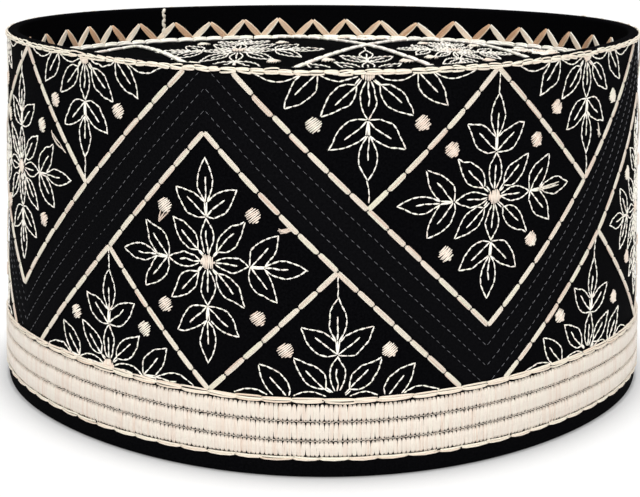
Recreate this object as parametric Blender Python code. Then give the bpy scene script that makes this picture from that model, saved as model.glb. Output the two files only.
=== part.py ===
"""Round brimless prayer cap: a stiff cloth side band standing on its hem, a crown set
a little below the rim and laced to the band, and raised bands of cream thread."""
import math

import bmesh
import bpy

for leftover in list(bpy.data.objects):
    bpy.data.objects.remove(leftover, do_unlink=True)

# Driving dimensions, in metres
RIM_RADIUS = 0.0946        # mean outer radius at the rim: 595 mm round, for a 58 cm head
EGG_SHARE = 0.0107         # the front is narrower than the back by this share
SIDE_SHARE = 0.0036        # the sides stand out by this share
POINTED_SHARE = 0.012      # faint points at front, back and sides, from being folded flat
HEM_FLARE = 0.0043         # the hem is this much wider than the rim, each side
CAP_HEIGHT = 0.1069
RIM_DIP = 0.0007           # the rim dips at front and back, and rises at the sides
CLOTH_WALL = 0.003         # stiffened and quilted side band
EDGE_ROUND = 0.0008        # rounding of the rim
HEM_ROUND = 0.0006         # and of the hem
CROWN_THICKNESS = 0.002
CROWN_EDGE_HEIGHT = 0.0945
CROWN_DOME = 0.0055        # how far the middle of the crown stands above its edge
CROWN_RINGS = (1.0, 0.85, 0.65, 0.4)    # rings of the dome, as shares of the way out to its edge
SEAM_GAP = 0.0003          # clearance between neighbouring pieces
CORD_SIDES = 5
RIM_CORD_WIDTH = 0.0013
RIM_CORD_DROP = 0.0011     # centre of the rim edging below the rim
CROWN_CORD_WIDTH = 0.0016
BORDER_CORD_WIDTH = 0.0012
UPPER_BORDER_HEIGHT = 0.02135
LOWER_BORDER_HEIGHT = 0.0052
SATIN_ROWS = 3
SATIN_LOW = 0.0005         # thickness of the satin threads where two rows meet
SATIN_HIGH = 0.0009        # and along the middle of a row
LACING_THICKNESS = 0.0008
LACING_BAND = 0.00225      # height of a lacing leg, measured straight up
LACING_PEAK_DROP = 0.0050  # tips of the lacing below the rim
LACING_TEETH = 42

# Linear colours of the cloth and the threads
BLACK_COTTON = (0.010, 0.010, 0.012)
CREAM_THREAD = (0.85, 0.76, 0.64)
SATIN_THREAD = (0.88, 0.76, 0.63)
LACING_THREAD = (0.72, 0.56, 0.42)

# Every ring is cut at the same azimuths, two to a tooth of the lacing
AZIMUTHS = [math.pi * step / LACING_TEETH for step in range(2 * LACING_TEETH)]


def plan_radius(azimuth):
    """Outer radius of the rim. Azimuth 0 is the front, at -Y, and it grows towards +X."""
    sides = -SIDE_SHARE * math.cos(2 * azimuth)
    egg = EGG_SHARE * math.cos(3 * azimuth)
    pointed = POINTED_SHARE * math.cos(4 * azimuth)
    return RIM_RADIUS * (1 + sides + egg + pointed)


def wall_point(azimuth, height, inset):
    """A point of the side band: its height, and how far inside the outer face it lies."""
    share = height / CAP_HEIGHT
    radius = plan_radius(azimuth) + HEM_FLARE * (1 - share) - inset
    centring = EGG_SHARE * RIM_RADIUS       # keeps front and back equally far from the origin
    lift = -RIM_DIP * share * math.cos(2 * azimuth)
    return (radius * math.sin(azimuth), centring - radius * math.cos(azimuth), height + lift)


def cloth_finish(name, colour, roughness):
    """A plain dyed cloth or thread."""
    material = bpy.data.materials.new(name)
    material.use_nodes = True
    shader = material.node_tree.nodes["Principled BSDF"]
    shader.inputs["Base Color"].default_value = (*colour, 1.0)
    shader.inputs["Roughness"].default_value = roughness
    shader.inputs["Metallic"].default_value = 0.0
    material.diffuse_color = (*colour, 1.0)
    return material


def add_piece(name, mesh_builder, material):
    """Turn a finished bmesh into a named object with one material."""
    bmesh.ops.recalc_face_normals(mesh_builder, faces=mesh_builder.faces)
    mesh = bpy.data.meshes.new(name)
    mesh_builder.to_mesh(mesh)
    mesh_builder.free()
    mesh.materials.append(material)
    mesh.shade_smooth()
    mesh.set_sharp_from_angle(angle=math.radians(40))
    piece = bpy.data.objects.new(name, mesh)
    bpy.context.scene.collection.objects.link(piece)
    return piece


def add_ring(name, profile, material):
    """A closed ring: profile(index, azimuth) lists (height, inset) round its section."""
    builder = bmesh.new()
    sections = []
    for index, azimuth in enumerate(AZIMUTHS):
        corners = [wall_point(azimuth, height, inset) for height, inset in profile(index, azimuth)]
        sections.append([builder.verts.new(corner) for corner in corners])
    for index, section in enumerate(sections):
        following = sections[(index + 1) % len(sections)]
        for corner, vertex in enumerate(section):
            after = (corner + 1) % len(section)
            builder.faces.new((vertex, following[corner], following[after], section[after]))
    return add_piece(name, builder, material)


def round_section(centre_height, centre_inset, width):
    """Corners of a thread cord's round section."""
    corners = []
    for side in range(CORD_SIDES):
        turn = 2 * math.pi * side / CORD_SIDES
        corners.append((centre_height + width / 2 * math.sin(turn),
                        centre_inset + width / 2 * math.cos(turn)))
    return corners


def side_band_section(index, azimuth):
    """Hollow cloth wall with rounded rim and hem, and a flat foot to stand on."""
    outer, inner = 0.0, CLOTH_WALL
    middle = CAP_HEIGHT / 2
    return [(0.0, outer + HEM_ROUND), (HEM_ROUND, outer), (middle, outer),
            (CAP_HEIGHT - EDGE_ROUND, outer), (CAP_HEIGHT, outer + EDGE_ROUND),
            (CAP_HEIGHT, inner - EDGE_ROUND), (CAP_HEIGHT - EDGE_ROUND, inner),
            (middle, inner), (HEM_ROUND, inner), (0.0, inner - HEM_ROUND)]


def rim_edging_section(index, azimuth):
    return round_section(CAP_HEIGHT - RIM_CORD_DROP, -SEAM_GAP - RIM_CORD_WIDTH / 2, RIM_CORD_WIDTH)


def upper_border_section(index, azimuth):
    return round_section(UPPER_BORDER_HEIGHT, -SEAM_GAP - BORDER_CORD_WIDTH / 2, BORDER_CORD_WIDTH)


def lower_border_section(index, azimuth):
    return round_section(LOWER_BORDER_HEIGHT, -SEAM_GAP - BORDER_CORD_WIDTH / 2, BORDER_CORD_WIDTH)


def satin_band_section(index, azimuth):
    """Satin threads laid over the cloth, swelling along each row and low between rows."""
    clear = BORDER_CORD_WIDTH / 2 + SEAM_GAP
    bottom = LOWER_BORDER_HEIGHT + clear
    top = UPPER_BORDER_HEIGHT - clear
    row = (top - bottom) / SATIN_ROWS
    face = [(bottom, -SEAM_GAP - SATIN_LOW)]
    for number in range(SATIN_ROWS):
        face.append((bottom + row * (number + 0.5), -SEAM_GAP - SATIN_HIGH))
        face.append((bottom + row * (number + 1), -SEAM_GAP - SATIN_LOW))
    return face + [(top, -SEAM_GAP), (bottom, -SEAM_GAP)]


def lacing_section(index, azimuth):
    """Flat thread bundle that zigzags between the crown's edge and the inside of the rim."""
    outer = CLOTH_WALL + SEAM_GAP
    inner = outer + LACING_THICKNESS
    low_tip = CROWN_EDGE_HEIGHT + SEAM_GAP
    high_tip = CAP_HEIGHT - LACING_PEAK_DROP - LACING_BAND
    low = high_tip if index % 2 else low_tip
    return [(low, outer), (low, inner), (low + LACING_BAND, inner), (low + LACING_BAND, outer)]


def crown_rise(share):
    """How far the dome stands above its edge, at a share of the way out from its middle."""
    return CROWN_DOME * (1 - share ** 2)


def crown_edging_section(index, azimuth):
    inset = CLOTH_WALL + SEAM_GAP + LACING_THICKNESS + SEAM_GAP + CROWN_CORD_WIDTH / 2
    dome = crown_rise(1 - (inset - CLOTH_WALL) / RIM_RADIUS)
    height = CROWN_EDGE_HEIGHT + dome + SEAM_GAP + CROWN_CORD_WIDTH / 2
    return round_section(height, inset, CROWN_CORD_WIDTH)


def add_crown(name, material):
    """Domed disc of cloth that closes the top, a seam's width inside the side band."""
    builder = bmesh.new()
    skins = []
    for drop in (0.0, CROWN_THICKNESS):
        rings = []
        for share in CROWN_RINGS:
            ring = []
            for azimuth in AZIMUTHS:
                x, y, z = wall_point(azimuth, CROWN_EDGE_HEIGHT, CLOTH_WALL + SEAM_GAP)
                level = CROWN_EDGE_HEIGHT + (z - CROWN_EDGE_HEIGHT) * share + crown_rise(share)
                ring.append(builder.verts.new((x * share, y * share, level - drop)))
            rings.append(ring)
        rings.append([builder.verts.new((0.0, 0.0, CROWN_EDGE_HEIGHT + CROWN_DOME - drop))])
        skins.append(rings)
    count = len(AZIMUTHS)
    for rings in skins:
        for ring, inward in zip(rings[:-2], rings[1:-1]):
            for index in range(count):
                after = (index + 1) % count
                builder.faces.new((ring[index], ring[after], inward[after], inward[index]))
        for index in range(count):
            builder.faces.new((rings[-2][index], rings[-2][(index + 1) % count], rings[-1][0]))
    top_edge, under_edge = skins[0][0], skins[1][0]
    for index in range(count):
        after = (index + 1) % count
        builder.faces.new((top_edge[index], under_edge[index], under_edge[after], top_edge[after]))
    return add_piece(name, builder, material)


def build_cap():
    """Put the pieces together from the hem up."""
    black_cloth = cloth_finish("black_cotton", BLACK_COTTON, 0.92)
    cream_thread = cloth_finish("cream_thread", CREAM_THREAD, 0.55)
    satin_thread = cloth_finish("satin_thread", SATIN_THREAD, 0.45)
    lacing_thread = cloth_finish("lacing_thread", LACING_THREAD, 0.55)
    add_ring("side_band", side_band_section, black_cloth)
    add_ring("satin_band", satin_band_section, satin_thread)
    add_ring("lower_border", lower_border_section, cream_thread)
    add_ring("upper_border", upper_border_section, cream_thread)
    add_ring("rim_edging", rim_edging_section, cream_thread)
    add_crown("crown", black_cloth)
    add_ring("crown_edging", crown_edging_section, cream_thread)
    add_ring("crown_lacing", lacing_section, lacing_thread)


build_cap()
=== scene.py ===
"""The looks of a round prayer cap: black quilted cotton, embroidered in cream thread.

Sizes here are in millimetres, and MM turns them to metres where a mesh is made. "Along" is
measured round the rim from the middle of the front, towards +X, and "height" from the hem.
"""
import math
from collections import namedtuple

import bpy
import numpy as np
from mathutils import Matrix


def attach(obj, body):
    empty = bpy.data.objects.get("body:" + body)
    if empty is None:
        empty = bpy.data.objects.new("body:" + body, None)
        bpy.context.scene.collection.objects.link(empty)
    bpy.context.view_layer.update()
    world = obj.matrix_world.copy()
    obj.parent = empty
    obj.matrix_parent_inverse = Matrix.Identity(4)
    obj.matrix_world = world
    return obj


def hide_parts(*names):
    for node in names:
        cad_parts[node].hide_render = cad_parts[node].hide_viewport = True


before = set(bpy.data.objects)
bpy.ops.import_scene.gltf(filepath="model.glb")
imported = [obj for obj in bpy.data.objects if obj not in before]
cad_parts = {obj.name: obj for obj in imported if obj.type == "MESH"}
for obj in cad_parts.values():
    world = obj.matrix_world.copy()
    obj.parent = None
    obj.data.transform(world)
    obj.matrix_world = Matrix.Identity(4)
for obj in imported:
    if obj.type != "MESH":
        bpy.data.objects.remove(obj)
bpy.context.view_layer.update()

MM = 0.001
chance = np.random.default_rng(11)


# Camera, table and light: a product shot from a little above, on a white table, in soft light
# from all round, with a wide light behind the camera and a narrower one straight overhead.
CAMERA_PLACE = (-0.72, -468.17, 152.27)
CAMERA_TILT = 13.826        # degrees below level
CAMERA_ROLL = 0.254
CAMERA_LENS = 85.10         # on a 36 mm wide sensor
LIGHTS = {"front_light": ((0.0, -1300.0, 700.0), 40.0, 2.05),   # from, spread in degrees, strength
          "top_light": ((0.0, 0.0, 1500.0), 11.0, 2.00)}
ROOM_LIGHT = 0.28
TABLE_GLOW = 0.57
SHADOW_REACH = 15.0         # how far the shadow at the foot of the cap reaches
SHADOW_FALLOFF = 1.3        # more is darker close to the cap
SHADOW_SAMPLES = 16
TABLE_WIDTH = 12.0          # metres

camera_data = bpy.data.cameras.new("camera")
camera_data.lens = CAMERA_LENS
camera_data.sensor_width = 36.0
camera = bpy.data.objects.new("camera", camera_data)
tilt_turn = Matrix.Rotation(math.radians(90.0 - CAMERA_TILT), 4, "X")
roll_turn = Matrix.Rotation(math.radians(CAMERA_ROLL), 4, "Z")
camera.matrix_world = Matrix.Translation([c * MM for c in CAMERA_PLACE]) @ tilt_turn @ roll_turn
bpy.context.scene.collection.objects.link(camera)
bpy.context.scene.camera = camera
bpy.context.scene.view_settings.view_transform = "Standard"


def linear(colour):
    """An sRGB hex colour as linear RGBA."""
    shares = [int(colour[i:i + 2], 16) / 255 for i in (1, 3, 5)]
    return (*[s / 12.92 if s <= 0.04045 else ((s + 0.055) / 1.055) ** 2.4 for s in shares], 1.0)


def add_node(material, kind, links=(), **settings):
    """A node with its settings and sockets set. links are (socket, node, output) to plug in."""
    node = material.node_tree.nodes.new(kind)
    for name, value in settings.items():
        if name in node.inputs:
            node.inputs[name].default_value = value
        else:
            setattr(node, name, value)
    for socket, source, output in links:
        material.node_tree.links.new(source.outputs[output], node.inputs[socket])
    return node


def new_finish(name, colour, roughness, **sockets):
    """A material with its Principled shader's own sockets set."""
    material = bpy.data.materials.new(name)
    material.use_nodes = True
    shader = material.node_tree.nodes["Principled BSDF"]
    shader.inputs["Base Color"].default_value = linear(colour)
    shader.inputs["Roughness"].default_value = roughness
    for socket, value in sockets.items():
        shader.inputs[socket.replace("_", " ")].default_value = value
    material.diffuse_color = linear(colour)
    return material, shader


# White acrylic that glows, like a product table lit from under: it gives a clean ground. Its glow
# is multiplied by its ambient occlusion, so it darkens where the cap stands close: a painted
# contact shadow.
table_finish, table_shader = new_finish("white_acrylic_table", "#A8A8A8", 0.6)
table_shader.inputs["Emission Color"].default_value = linear("#FFFFFF")
# Painted contact shadow: the glow fades with ambient occlusion within SHADOW_REACH of the cap.
open_sky = add_node(table_finish, "ShaderNodeAmbientOcclusion", samples=SHADOW_SAMPLES,
                    Distance=SHADOW_REACH * MM)
painted_shadow_share = add_node(table_finish, "ShaderNodeMath", [(0, open_sky, "AO")], operation="POWER")
painted_shadow_share.inputs[1].default_value = SHADOW_FALLOFF
glow = add_node(table_finish, "ShaderNodeMath", [(0, painted_shadow_share, "Value")], operation="MULTIPLY")
glow.inputs[1].default_value = TABLE_GLOW
table_finish.node_tree.links.new(glow.outputs["Value"], table_shader.inputs["Emission Strength"])
table_mesh = bpy.data.meshes.new("table")
edge = TABLE_WIDTH / 2
table_mesh.from_pydata([(-edge, -edge, 0), (edge, -edge, 0), (edge, edge, 0), (-edge, edge, 0)],
                       [], [(0, 1, 2, 3)])
table_mesh.materials.append(table_finish)
table = bpy.data.objects.new("table", table_mesh)
bpy.context.scene.collection.objects.link(table)

world = bpy.data.worlds.new("studio")
world.use_nodes = True
world.node_tree.nodes["Background"].inputs["Color"].default_value = linear("#FFFFFF")
world.node_tree.nodes["Background"].inputs["Strength"].default_value = ROOM_LIGHT
bpy.context.scene.world = world

for light_name, (place, spread, strength) in LIGHTS.items():
    light_data = bpy.data.lights.new(light_name, "SUN")
    light_data.angle = math.radians(spread)
    light_data.energy = strength
    light = bpy.data.objects.new(light_name, light_data)
    light.location = [c * MM for c in place]
    aim = -light.location.normalized()
    light.rotation_euler = aim.to_track_quat("-Z", "Y").to_euler()
    bpy.context.scene.collection.objects.link(light)


# Side band: two layers of black cotton over a stiffener, quilted by machine in three rows
# along a zigzag. It is sewn into a ring and stands on its hem.
RIM_RADIUS = 94.6           # mean outer radius at the rim
EGG_SHARE = 0.0107          # the front is narrower than the back by this share
SIDE_SHARE = 0.0036         # the sides stand out by this share
POINTED_SHARE = 0.012       # faint points at front, back and sides, from being folded flat
HEM_FLARE = 4.3
CAP_HEIGHT = 106.9
RIM_DIP = 0.7
CLOTH_WALL = 3.0
EDGE_ROUND = 0.8
QUILT_DEPTH = 0.22          # how deep a stitch row pulls the cloth in
QUILT_WIDTH = 1.5           # half the width of that furrow
SEWN_DEPTH = 0.16           # the same under the cream lines
CLOTH_WAVE = 0.18           # slow unevenness of the stiffened cloth
CLOTH_WAVE_REACH = 60.0
BAND_COLUMNS = 640
BAND_ROWS = 96
FIRST_ROW = 0.9             # the lowest row of points on either face of the wall
INNER_HEIGHTS = (106.0, 104.0, 101.0, 98.0, 95.0, 88.0, 70.0, 50.0, 30.0, 15.0, 6.0, FIRST_ROW)
HEM_RISE = 0.25             # the hem's folded edge turns in by these
HEM_TURN_IN = 0.3

turn_table = np.linspace(-math.pi, math.pi, 2881)
radius_table = RIM_RADIUS * (1 - SIDE_SHARE * np.cos(2 * turn_table)
                             + EGG_SHARE * np.cos(3 * turn_table)
                             + POINTED_SHARE * np.cos(4 * turn_table))
steps = np.hypot(np.diff(radius_table * np.sin(turn_table)),
                 np.diff(radius_table * np.cos(turn_table)))
along_table = np.concatenate([[0.0], np.cumsum(steps)])
GIRTH = along_table[-1]
along_table = along_table - GIRTH / 2


def wall_place(along, height, proud=0.0):
    """Points on the side band's outer face, or proud of it, as an array of (x, y, z)."""
    along = (np.asarray(along, float) + GIRTH / 2) % GIRTH - GIRTH / 2
    turn = np.interp(along, along_table, turn_table)
    share = np.asarray(height, float) / CAP_HEIGHT
    radius = np.interp(along, along_table, radius_table) + HEM_FLARE * (1 - share) + proud
    lift = -RIM_DIP * share * np.cos(2 * turn)
    return np.stack([radius * np.sin(turn), EGG_SHARE * RIM_RADIUS - radius * np.cos(turn),
                     height + lift], axis=-1)


def unit(vectors):
    """The same directions, each one long."""
    return vectors / np.maximum(np.linalg.norm(vectors, axis=-1, keepdims=True), 1e-9)


def straight_out(place, u, v, nudge=0.5):
    """The direction that points straight out of a cloth, whose points place gives."""
    sideways = place(u + nudge, v) - place(u - nudge, v)
    upwards = place(u, v + nudge) - place(u, v - nudge)
    return unit(np.cross(sideways, upwards))


def wall_outward(along, height):
    return straight_out(wall_place, along, height)


# The pattern's diamonds, apex by apex. A V diamond hangs from the rim with its apex down, and
# a roof diamond stands on the satin band with its apex up. "foot" is where the line that
# runs outside the apex meets the satin band or the rim, to its left and right.
Diamond = namedtuple("Diamond", "apex apex_height left left_height right right_height far "
                                "foot_left foot_right middle middle_height")


def plain_v(apex):
    """A V diamond of the average size, where the photo doesn't show the wall."""
    return Diamond(apex, 37.2, apex - 33.8, 72.0, apex + 33.8, 72.0, apex, apex - 8.2, apex + 8.2,
                   apex, 72.0)


def plain_roof(apex):
    """A roof diamond of the average size."""
    return Diamond(apex, 89.7, apex - 32.1, 56.0, apex + 32.1, 56.0, apex, apex - 6.9, apex + 6.9,
                   apex, 56.0)


V_DIAMONDS = [
    Diamond(-105.3, 36.3, -139.1, 72.0, -70.2, 71.9, -102.2, -113.5, -93.7, -108.2, 70.3),
    Diamond(44.4, 37.6, 11.1, 71.1, 81.8, 72.0, 47.1, 36.4, 49.9, 46.1, 72.1),
    plain_v(197.4),
    plain_v(343.6),
]
ROOF_DIAMONDS = [
    Diamond(-30.7, 89.9, -60.9, 56.2, 3.7, 55.2, -29.3, -36.5, -23.2, -29.6, 56.3),
    Diamond(124.3, 89.9, 89.5, 56.0, 156.4, 56.0, 124.3, 117.6, 131.2, 123.5, 56.0),
    plain_roof(270.5),
    plain_roof(416.6),
]
RIM_LINE = 105.4            # where the pattern meets the rim edging
BAND_LINE = 22.1            # and the satin band
BLACK_BAND_DEPTH = 22.3     # the quilted zigzag, measured straight up
QUILT_ROWS = (0.25, 0.5, 0.75)


def pattern_lines():
    """The cream lines of the side band, each as (along, height, along, height)."""
    lines = []
    for diamonds, far_height in ((V_DIAMONDS, RIM_LINE), (ROOF_DIAMONDS, BAND_LINE)):
        for d in diamonds:
            lines.append((d.left, d.left_height, d.apex, d.apex_height))
            lines.append((d.apex, d.apex_height, d.right, d.right_height))
            lines.append((d.left, d.left_height, d.far, far_height))
            lines.append((d.far, far_height, d.right, d.right_height))
    for v, roof in zip(V_DIAMONDS, ROOF_DIAMONDS):
        before = ROOF_DIAMONDS[ROOF_DIAMONDS.index(roof) - 1]
        wrap = GIRTH if before.apex > v.apex else 0.0
        lines.append((v.right, v.right_height, roof.foot_left, RIM_LINE))
        lines.append((before.foot_right - wrap, RIM_LINE, v.left, v.left_height))
        lines.append((v.foot_right, BAND_LINE, roof.left, roof.left_height))
        lines.append((before.right - wrap, before.right_height, v.foot_left, BAND_LINE))
    return lines


def zigzag_knots():
    """The corners of the quilted zigzag, of its upper and of its lower edge, three times round."""
    upper, lower = [], []
    for v, roof in zip(V_DIAMONDS, ROOF_DIAMONDS):
        upper += [(v.left, v.left_height), (v.apex, v.apex_height), (v.right, v.right_height),
                  (roof.apex, roof.apex_height + BLACK_BAND_DEPTH)]
        lower += [(v.apex, v.apex_height - BLACK_BAND_DEPTH), (roof.left, roof.left_height),
                  (roof.apex, roof.apex_height), (roof.right, roof.right_height)]
    return [np.concatenate([np.array(knots) + [lap * GIRTH, 0] for lap in (-1, 0, 1)])
            for knots in (upper, lower)]


def zigzag_edges(along):
    """Heights of the upper and of the lower edge of the quilted zigzag."""
    return [np.interp(along, knots[:, 0], knots[:, 1]) for knots in zigzag_knots()]


def quilting_lines():
    """The rows of black stitches along the zigzag, as (along, height, along, height)."""
    upper, lower = zigzag_knots()
    knots = np.unique(np.concatenate([upper[:, 0], lower[:, 0]]))
    knots = knots[(knots >= -GIRTH / 2) & (knots <= GIRTH)]
    top, bottom = zigzag_edges(knots)
    first = V_DIAMONDS[0].apex
    rows = []
    for share in QUILT_ROWS:
        height = bottom + (top - bottom) * share
        for a, b, za, zb in zip(knots[:-1], knots[1:], height[:-1], height[1:]):
            if first <= a < first + GIRTH - 1:
                rows.append((a, za, b, zb))
    return rows


def distance_to_lines(u, v, lines, lap=None):
    """How far each point lies from the nearest line. Where u goes round, lap is the way round."""
    nearest = np.full(np.broadcast(u, v).shape, 1e9)
    for a, za, b, zb in lines:
        middle = (a + b) / 2
        near = (u - middle + lap / 2) % lap - lap / 2 + middle if lap else u
        run = (b - a) ** 2 + (zb - za) ** 2
        share = np.clip(((near - a) * (b - a) + (v - za) * (zb - za)) / run, 0, 1)
        gap = np.hypot(near - a - share * (b - a), v - za - share * (zb - za))
        nearest = np.minimum(nearest, gap)
    return nearest


def furrow(distance, width, depth):
    """How deep the cloth is pulled in beside a row of stitches."""
    return depth * np.exp(-(distance / width) ** 2)


def slow_waves(u, v, size, seed):
    """Smooth, repeatable unevenness from a few long waves, about -1 to 1."""
    waves = np.random.default_rng(seed)
    total = 0.0
    for _ in range(7):
        turn = waves.uniform(0, 2 * math.pi)
        reach = size * waves.uniform(0.6, 1.6)
        total = total + np.sin(2 * math.pi * (u * math.cos(turn) + v * math.sin(turn)) / reach
                               + waves.uniform(0, 2 * math.pi))
    return total / 4


def add_mesh(name, points, corners, counts, finish, corner_map, tone):
    """A smooth mesh object: points in mm, the faces' corners in one row, a map in mm, and tones."""
    mesh = bpy.data.meshes.new(name)
    mesh.vertices.add(len(points))
    mesh.vertices.foreach_set("co", (points * MM).astype(np.float32).ravel())
    mesh.loops.add(len(corners))
    mesh.loops.foreach_set("vertex_index", corners.astype(np.int32))
    mesh.polygons.add(len(counts))
    mesh.polygons.foreach_set("loop_start", (np.cumsum(counts) - counts).astype(np.int32))
    mesh.polygons.foreach_set("use_smooth", np.ones(len(counts), bool))
    mesh.update(calc_edges=True)
    layer = mesh.uv_layers.new(name="thread_map")
    layer.uv.foreach_set("vector", corner_map.astype(np.float32).ravel())
    shade = mesh.attributes.new("tone", "FLOAT", "FACE")
    shade.data.foreach_set("value", tone.astype(np.float32))
    mesh.materials.append(finish)
    piece = bpy.data.objects.new(name, mesh)
    bpy.context.scene.collection.objects.link(piece)
    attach(piece, "root")
    return piece


def add_ring_grid(name, rows, finish, row_map, along, tone):
    """A closed ring from rows of points that run round its section: rows is (rows, columns, 3)."""
    count, columns = rows.shape[:2]
    row, column = np.meshgrid(np.arange(count), np.arange(columns), indexing="ij")
    after_row, after_column = (row + 1) % count, (column + 1) % columns
    corners = np.stack([row * columns + column, row * columns + after_column,
                        after_row * columns + after_column, after_row * columns + column], -1)
    span = np.append(along, along[0] + GIRTH)
    reach = np.append(row_map, row_map[-1] + 1.0)
    corner_map = np.stack([
        np.stack([span[column], reach[row]], -1), np.stack([span[column + 1], reach[row]], -1),
        np.stack([span[column + 1], reach[row + 1]], -1),
        np.stack([span[column], reach[row + 1]], -1)], axis=2)
    return add_mesh(name, rows.reshape(-1, 3), corners.ravel(), np.full(count * columns, 4),
                    finish, corner_map.reshape(-1, 2), tone.ravel())


# Black mercerised cotton in a close plain weave: nearly black and dull, with a faint thread grid.
WEAVE_PITCH = 0.45          # mm; the real one is about 0.2 mm, too fine to show in the render
GREY_PER_TONE = 0.19          # how much lighter a tone of 1 is, on the colour ramp
black_cotton, cotton_shader = new_finish("black_cotton_plain_weave", "#0A0A0B", 0.9,
                                         Specular_IOR_Level=0.015)
cloth_map = add_node(black_cotton, "ShaderNodeUVMap", uv_map="thread_map")
warp = add_node(black_cotton, "ShaderNodeTexWave", [("Vector", cloth_map, "UV")],
                bands_direction="X", Scale=math.pi / 10 / WEAVE_PITCH, Distortion=0.6)
weft = add_node(black_cotton, "ShaderNodeTexWave", [("Vector", cloth_map, "UV")],
                bands_direction="Y", Scale=math.pi / 10 / WEAVE_PITCH, Distortion=0.6)
grid = add_node(black_cotton, "ShaderNodeMath", [(0, warp, "Fac"), (1, weft, "Fac")],
                operation="MULTIPLY")
fluff = add_node(black_cotton, "ShaderNodeTexNoise", [("Vector", cloth_map, "UV")],
                 Scale=1.6, Detail=3.0, Roughness=0.7)
# The quilted zigzag is coloured a little greyer than the rest, and the crown darker than the rest,
# as painted shade against the light its upturned face catches: their faces have a tone of 1 and -1.
cloth_tone = add_node(black_cotton, "ShaderNodeAttribute", attribute_name="tone")
greyness = add_node(black_cotton, "ShaderNodeMath", [(0, cloth_tone, "Fac"), (2, fluff, "Fac")],
                    operation="MULTIPLY_ADD")
greyness.inputs[1].default_value = GREY_PER_TONE
cloth_shade = add_node(black_cotton, "ShaderNodeValToRGB", [("Fac", greyness, "Value")])
cloth_shade.color_ramp.elements[0].position = 0.3
cloth_shade.color_ramp.elements[0].color = linear("#020203")
cloth_shade.color_ramp.elements[1].color = linear("#101012")
black_cotton.node_tree.links.new(cloth_shade.outputs["Color"], cotton_shader.inputs["Base Color"])
weave_bump = add_node(black_cotton, "ShaderNodeBump", [("Height", grid, "Value")],
                      Strength=0.35, Distance=0.00012)
black_cotton.node_tree.links.new(weave_bump.outputs["Normal"], cotton_shader.inputs["Normal"])

cream_lines = pattern_lines()
quilt_rows = quilting_lines()
band_along = (np.arange(BAND_COLUMNS) / BAND_COLUMNS - 0.5) * GIRTH
outer_heights = np.linspace(FIRST_ROW, CAP_HEIGHT - EDGE_ROUND, BAND_ROWS)
outer_face = (band_along[None], outer_heights[:, None])
sewn_furrow = furrow(distance_to_lines(*outer_face, cream_lines, GIRTH), QUILT_WIDTH, SEWN_DEPTH)
quilt_furrow = furrow(distance_to_lines(*outer_face, quilt_rows, GIRTH), QUILT_WIDTH, QUILT_DEPTH)
wave = slow_waves(*outer_face, CLOTH_WAVE_REACH, 3) * CLOTH_WAVE
wave = wave * np.sin(math.pi * outer_heights[:, None] / CAP_HEIGHT) - CLOTH_WAVE / 2
outer_rows = wall_place(*outer_face, wave - sewn_furrow - quilt_furrow)


def wall_ring(height, inset):
    """One row of points round the wall, inset from its outer face."""
    return wall_place(band_along, np.full(BAND_COLUMNS, height), -inset)


corner_turns = np.radians([25.0, 50.0, 75.0])
rim_rows = [wall_ring(CAP_HEIGHT - EDGE_ROUND + EDGE_ROUND * math.sin(t),
                      EDGE_ROUND - EDGE_ROUND * math.cos(t)) for t in corner_turns]
rim_rows += [wall_ring(CAP_HEIGHT, EDGE_ROUND), wall_ring(CAP_HEIGHT, CLOTH_WALL - EDGE_ROUND)]
rim_rows += [wall_ring(CAP_HEIGHT - EDGE_ROUND + EDGE_ROUND * math.cos(t),
                       CLOTH_WALL - EDGE_ROUND + EDGE_ROUND * math.sin(t)) for t in corner_turns]
inner_rows = [wall_ring(height, CLOTH_WALL) for height in INNER_HEIGHTS]
hem_rows = [wall_ring(HEM_RISE, CLOTH_WALL - HEM_TURN_IN), wall_ring(0.0, CLOTH_WALL - EDGE_ROUND),
            wall_ring(0.0, EDGE_ROUND), wall_ring(HEM_RISE, HEM_TURN_IN)]
band_rows = np.concatenate([outer_rows, rim_rows, inner_rows, hem_rows])
around = np.concatenate([[0.0], np.cumsum(np.linalg.norm(
    np.diff(band_rows[:, 0], axis=0), axis=1))])
zigzag_top, zigzag_foot = zigzag_edges(band_along)
zigzag_tone = np.zeros(band_rows.shape[:2])
zigzag_tone[:BAND_ROWS] = ((outer_heights[:, None] > zigzag_foot)
                           & (outer_heights[:, None] < zigzag_top))
side_band = add_ring_grid("side_band_cloth", band_rows, black_cotton, around, band_along,
                          zigzag_tone)
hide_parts("side_band")


# Cream embroidery thread: two-ply mercerised cotton. Sheen along the thread, and each stitch
# a little pinker or greener than the next, as in light that shifts with the ply.
PLY_PITCH = 0.55            # mm; the real twist is about 0.3 mm, too fine to show


def thread_finish(name, pink, cream, green, roughness):
    """Spun thread: its colour follows each stitch's tone, and its ply runs round it."""
    finish, shader = new_finish(name, cream, roughness, Specular_IOR_Level=0.3,
                                Sheen_Weight=0.15, Sheen_Roughness=0.4)
    tone = add_node(finish, "ShaderNodeAttribute", attribute_name="tone")
    thread_map = add_node(finish, "ShaderNodeUVMap", uv_map="thread_map")
    shade = add_node(finish, "ShaderNodeValToRGB", [("Fac", tone, "Fac")])
    shade.color_ramp.elements[0].color = linear(pink)
    shade.color_ramp.elements[1].color = linear(green)
    middle = shade.color_ramp.elements.new(0.5)
    middle.color = linear(cream)
    ply = add_node(finish, "ShaderNodeTexWave", [("Vector", thread_map, "UV")],
                   bands_direction="DIAGONAL", Scale=math.pi / 10 / PLY_PITCH, Distortion=0.4)
    bump = add_node(finish, "ShaderNodeBump", [("Height", ply, "Fac")], Strength=0.4,
                    Distance=0.00005)
    finish.node_tree.links.new(shade.outputs["Color"], shader.inputs["Base Color"])
    finish.node_tree.links.new(bump.outputs["Normal"], shader.inputs["Normal"])
    return finish


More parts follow.
